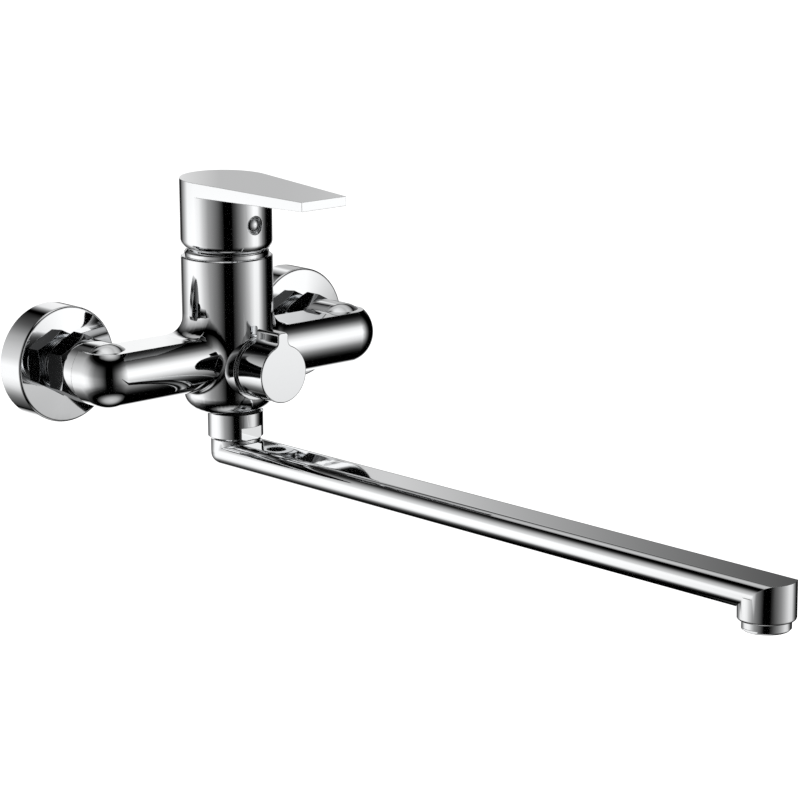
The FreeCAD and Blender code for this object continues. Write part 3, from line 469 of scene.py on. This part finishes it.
class MIXER_OT_blend_necks(bpy.types.Operator):
    """Lets the round necks run out on the arms' flat tops"""

    bl_idname = "mixer.blend_necks"
    bl_label = "Blend the necks"

    def execute(self, context):
        for side, name in ((-1, "left"), (1, "right")):
            piece = run_out(f"neck_run_out_{name}", side)
            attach(piece, "tap")
            piece.data.materials.append(finish_for(SLOTS["mixer_body"]))
            soften(piece)
        return {"FINISHED"}


# Studio

VIEW_FROM = Vector((-0.9296, -1.1993, 0.3005))
VIEW_ALONG = Vector((0.6559, 0.7221, -0.2202))
VIEW_UP = Vector((0.1465, 0.1531, 0.9773))
SENSOR_WIDTH = 36.0
FAR_CLIP = 60.0
TENT_PLACE = Vector((0.0, -0.15, 0.0))
TENT_GRID = (96, 48)
TENT_STRENGTH = 1.12
FLOOR_REACH = 25.0
FLOOR_COLOUR = (0.9, 0.9, 0.9, 1.0)
FLOOR_GLOW = 0.9
FILL_LEVEL = 0.35
LAMP_SIZE = 1.4
LAMPS = {"key_lamp": ((-1.2, -1.4, 1.6), 30), "fill_lamp": ((1.5, -1.0, 1.0), 18)}


def add_camera(stage):
    """Camera at the photograph's place, looking along its measured direction."""
    data = bpy.data.cameras.new("photo_camera")
    data.lens = stage.lens
    data.sensor_width = SENSOR_WIDTH
    data.clip_end = FAR_CLIP
    camera = bpy.data.objects.new("photo_camera", data)
    bpy.context.scene.collection.objects.link(camera)
    back = -VIEW_ALONG.normalized()
    right = VIEW_UP.cross(back).normalized()
    up = back.cross(right)
    turn = Matrix((right, up, back)).transposed()
    camera.matrix_world = Matrix.Translation(VIEW_FROM) @ turn.to_4x4()
    bpy.context.scene.camera = camera


def stage_mesh(name, points, faces, material):
    """A mesh that belongs to the studio and not to the tap."""
    mesh = bpy.data.meshes.new(name)
    mesh.from_pydata(points, [], faces)
    mesh.materials.append(material)
    made = bpy.data.objects.new(name, mesh)
    bpy.context.scene.collection.objects.link(made)
    return made


def panel_fade(tree, position, stops):
    """How bright a panel of the tent is along or up its surface, from (position, grey) stops."""
    made = add_node(tree, "ShaderNodeValToRGB", {"Fac": position})
    elements = made.color_ramp.elements
    while len(elements) < len(stops):
        elements.new(0.5)
    for element, (stop, grey) in zip(elements, stops):
        element.position = stop
        element.color = (grey, grey, grey, 1.0)
    return made.outputs["Color"]


def around(degrees):
    """A bearing to the right of the camera, -180 to 180, as a ramp position."""
    return (degrees + 180) / 360


def above(degrees):
    """A height over the horizon, -90 to 90, as a ramp position."""
    return (degrees + 90) / 180


# Brightness of the light tent's panels, as (degrees, grey) along and up each panel
LEFT_PANEL_AROUND = ((-146, 0), (-125, 0.45), (-111, 0.95), (-88, 1), (-73, 0.86), (-62, 0.58), (-48, 0.31),
                     (-28, 0.15), (-14, 0.04), (-7, 0))
LEFT_PANEL_ABOVE = ((-52, 0), (-43, 0.05), (-35, 0.28), (-26, 0.8), (-18, 1), (-6, 1), (3, 0.7), (14, 0.55),
                    (25, 0.36), (39, 0.03), (46, 0))
RIGHT_PANEL_AROUND = ((14, 0), (24, 0.06), (35, 0.17), (48, 0.34), (58, 0.54), (68, 0.78), (77, 1),
                      (90, 0.97), (100, 0.5), (110, 0.18), (121, 0.02), (128, 0))
RIGHT_PANEL_ABOVE = ((-56, 0), (-44, 0.1), (-30, 0.3), (-22, 0.55), (-13, 0.82), (-5, 1), (6, 1), (14, 0.85),
                     (21, 0.55), (33, 0.14), (41, 0.03), (48, 0))
BACK_PANEL_AROUND = ((-180, 0.54), (-178, 0.47), (-173.8, 0.47), (-171.8, 0.9), (-160, 0.8), (-150, 0),
                     (156, 0), (163, 0.11), (168, 0.21), (174, 0.4), (178.5, 0.58))
BACK_PANEL_ABOVE = ((-4, 0), (1, 0.3), (6, 1), (24, 1), (32, 0))
LOW_PANEL_AROUND = ((-180, 1), (-158, 1), (-148, 0), (158, 0), (170, 1))
LOW_PANEL_ABOVE = ((-42, 0), (-34, 1), (-16, 1), (-9, 0.3), (-4, 0))
REAR_ROOF_AROUND = ((-180, 0.75), (-150, 0.7), (-137, 0.45), (-129, 0), (124, 0), (136, 0.4), (155, 0.7),
                    (180, 0.75))
REAR_ROOF_ABOVE = ((33, 0), (40, 0.5), (50, 0.75), (62, 0.6), (74, 0.25), (84, 0))
TOP_PANEL_AROUND = ((-180, 0.9), (180, 0.9))
TOP_PANEL_ABOVE = ((58, 0), (66, 0.3), (76, 0.7), (90, 0.85))
GROUND_AROUND = ((-180, 0.8), (180, 0.8))
GROUND_ABOVE = ((-90, 0.7), (-76, 0.5), (-66, 0.12), (-60, 0))


def tent_material():
    """Light tent: dark, with a tall softbox on each side, a grey back wall, and soft roof and ground."""
    material = bpy.data.materials.new("light_tent")
    material.use_nodes = True
    tree = material.node_tree
    tree.nodes.clear()
    place = add_node(tree, "ShaderNodeTexCoord").outputs["Object"]
    aim = add_node(tree, "ShaderNodeVectorMath", {0: place}, operation="NORMALIZE").outputs["Vector"]
    split = add_node(tree, "ShaderNodeSeparateXYZ", {"Vector": aim})
    bearing = add_node(tree, "ShaderNodeMath", {0: split.outputs["X"], 1: split.outputs["Y"]},
                       operation="ARCTAN2").outputs["Value"]
    turn = add_node(tree, "ShaderNodeMapRange",
                    {"Value": bearing, "From Min": math.pi, "From Max": -math.pi}).outputs["Result"]
    rise = add_node(tree, "ShaderNodeMath", {0: split.outputs["Z"]}, operation="ARCSINE").outputs["Value"]
    height = add_node(tree, "ShaderNodeMapRange",
                      {"Value": rise, "From Min": -math.pi / 2, "From Max": math.pi / 2}).outputs["Result"]
    panels = (
        (LEFT_PANEL_AROUND, LEFT_PANEL_ABOVE),
        (RIGHT_PANEL_AROUND, RIGHT_PANEL_ABOVE),
        (BACK_PANEL_AROUND, BACK_PANEL_ABOVE),
        (LOW_PANEL_AROUND, LOW_PANEL_ABOVE),
        (REAR_ROOF_AROUND, REAR_ROOF_ABOVE),
        (TOP_PANEL_AROUND, TOP_PANEL_ABOVE),
        (GROUND_AROUND, GROUND_ABOVE),
    )
    total = 0.0
    for sideways, upward in panels:
        wide = panel_fade(tree, turn, [(around(angle), grey) for angle, grey in sideways])
        tall = panel_fade(tree, height, [(above(angle), grey) for angle, grey in upward])
        total = add_node(tree, "ShaderNodeMath", {0: wide, 1: tall, 2: total},
                         operation="MULTIPLY_ADD").outputs["Value"]
    glow = add_node(tree, "ShaderNodeEmission", {"Color": total, "Strength": TENT_STRENGTH})
    add_node(tree, "ShaderNodeOutputMaterial", {"Surface": glow.outputs["Emission"]})
    return material


def add_tent(stage):
    """A ball-shaped light tent round the tap; its own +Y side faces the camera."""
    turns, rows = TENT_GRID
    spin, lift = np.meshgrid(np.linspace(0, 2 * np.pi, turns, endpoint=False),
                             np.linspace(-np.pi / 2, np.pi / 2, rows), indexing="ij")
    points = stage.tent_radius * np.stack(
        [np.cos(lift) * np.sin(spin), np.cos(lift) * np.cos(spin), np.sin(lift)], axis=-1).reshape(-1, 3)
    index = np.arange(turns * rows).reshape(turns, rows)
    ahead = np.roll(index, -1, axis=0)
    faces = np.stack([index[:, :-1], index[:, 1:], ahead[:, 1:], ahead[:, :-1]], axis=-1).reshape(-1, 4)
    tent = stage_mesh("light_tent", points.tolist(), faces.tolist(), tent_material())
    tent.location = TENT_PLACE
    aim = VIEW_FROM - TENT_PLACE
    tent.rotation_euler = (0.0, 0.0, math.atan2(aim.y, aim.x) - math.pi / 2)
    tent.visible_camera = False
    tent.visible_shadow = False


def add_floor(stage):
    """Pale floor well below the tap, white towards the camera, with a trace of the tap's shadow."""
    material = bpy.data.materials.new("pale_floor")
    material.use_nodes = True
    tree = material.node_tree
    tree.nodes.clear()
    base = add_node(tree, "ShaderNodeBsdfDiffuse", {"Color": FLOOR_COLOUR}).outputs["BSDF"]
    glow = add_node(tree, "ShaderNodeEmission",
                    {"Color": (1, 1, 1, 1), "Strength": FLOOR_GLOW}).outputs["Emission"]
    both = add_node(tree, "ShaderNodeAddShader", {0: base, 1: glow}).outputs["Shader"]
    add_node(tree, "ShaderNodeOutputMaterial", {"Surface": both})
    size, low = FLOOR_REACH, -stage.floor_drop
    corners = [(-size, -size, low), (size, -size, low), (size, size, low), (-size, size, low)]
    stage_mesh("pale_floor", corners, [(0, 1, 2, 3)], material)


def add_lamp(name, place, watts):
    """A soft square lamp aimed at the tap; the chrome mirrors the tent instead of the lamp."""
    data = bpy.data.lights.new(name, "AREA")
    data.size = LAMP_SIZE
    data.energy = watts
    lamp = bpy.data.objects.new(name, data)
    bpy.context.scene.collection.objects.link(lamp)
    lamp.location = place
    lamp.rotation_euler = (TENT_PLACE - Vector(place)).to_track_quat("-Z", "Y").to_euler()
    lamp.visible_glossy = False


def add_world():
    """White surroundings for the camera and for mirrors, a plain grey fill for the rest."""
    world = bpy.data.worlds.new("studio")
    bpy.context.scene.world = world
    world.use_nodes = True
    tree = world.node_tree
    tree.nodes.clear()
    path = add_node(tree, "ShaderNodeLightPath").outputs
    seen = add_node(tree, "ShaderNodeMath", {0: path["Is Camera Ray"], 1: path["Is Glossy Ray"]},
                    operation="MAXIMUM").outputs["Value"]
    plain = add_node(tree, "ShaderNodeMath", {0: seen, 1: path["Is Transmission Ray"]},
                     operation="MAXIMUM").outputs["Value"]
    level = add_node(tree, "ShaderNodeMapRange", {"Value": plain, "To Min": FILL_LEVEL, "To Max": 1.0})
    sky = add_node(tree, "ShaderNodeBackground",
                   {"Color": (1, 1, 1, 1), "Strength": level.outputs["Result"]})
    add_node(tree, "ShaderNodeOutputWorld", {"Surface": sky.outputs["Background"]})


class MIXER_OT_set_stage(bpy.types.Operator):
    """Sets up the floor, the light tent, the lamps and the camera"""

    bl_idname = "mixer.set_stage"
    bl_label = "Set up the studio"

    def execute(self, context):
        stage = context.scene.mixer_stage
        add_world()
        add_floor(stage)
        add_tent(stage)
        for name, (place, watts) in LAMPS.items():
            add_lamp(name, place, watts)
        add_camera(stage)
        context.scene.view_settings.view_transform = "Standard"
        return {"FINISHED"}


class MIXER_PT_panel(bpy.types.Panel):
    """Lists the steps that dress the tap."""

    bl_idname = "MIXER_PT_panel"
    bl_label = "Bath mixer"
    bl_space_type = "VIEW_3D"
    bl_region_type = "UI"
    bl_category = "Bath mixer"

    def draw(self, context):
        for step in STEPS:
            self.layout.operator(step.bl_idname)


GROUPS = {"mixer_finish": MixerFinish, "mixer_thread": MixerThread, "mixer_stage": MixerStage}
STEPS = (MIXER_OT_dress_solids, MIXER_OT_cut_threads, MIXER_OT_blend_necks, MIXER_OT_set_stage)


def register():
    for kind in (*GROUPS.values(), *STEPS, MIXER_PT_panel):
        bpy.utils.register_class(kind)
    for name, kind in GROUPS.items():
        setattr(bpy.types.Scene, name, bpy.props.PointerProperty(type=kind))


def unregister():
    for name in GROUPS:
        delattr(bpy.types.Scene, name)
    for kind in (MIXER_PT_panel, *STEPS, *GROUPS.values()):
        bpy.utils.unregister_class(kind)


def main():
    register()
    bpy.ops.mixer.dress_solids()
    bpy.ops.mixer.cut_threads()
    bpy.ops.mixer.blend_necks()
    bpy.ops.mixer.set_stage()


if __name__ == "__main__":
    main()
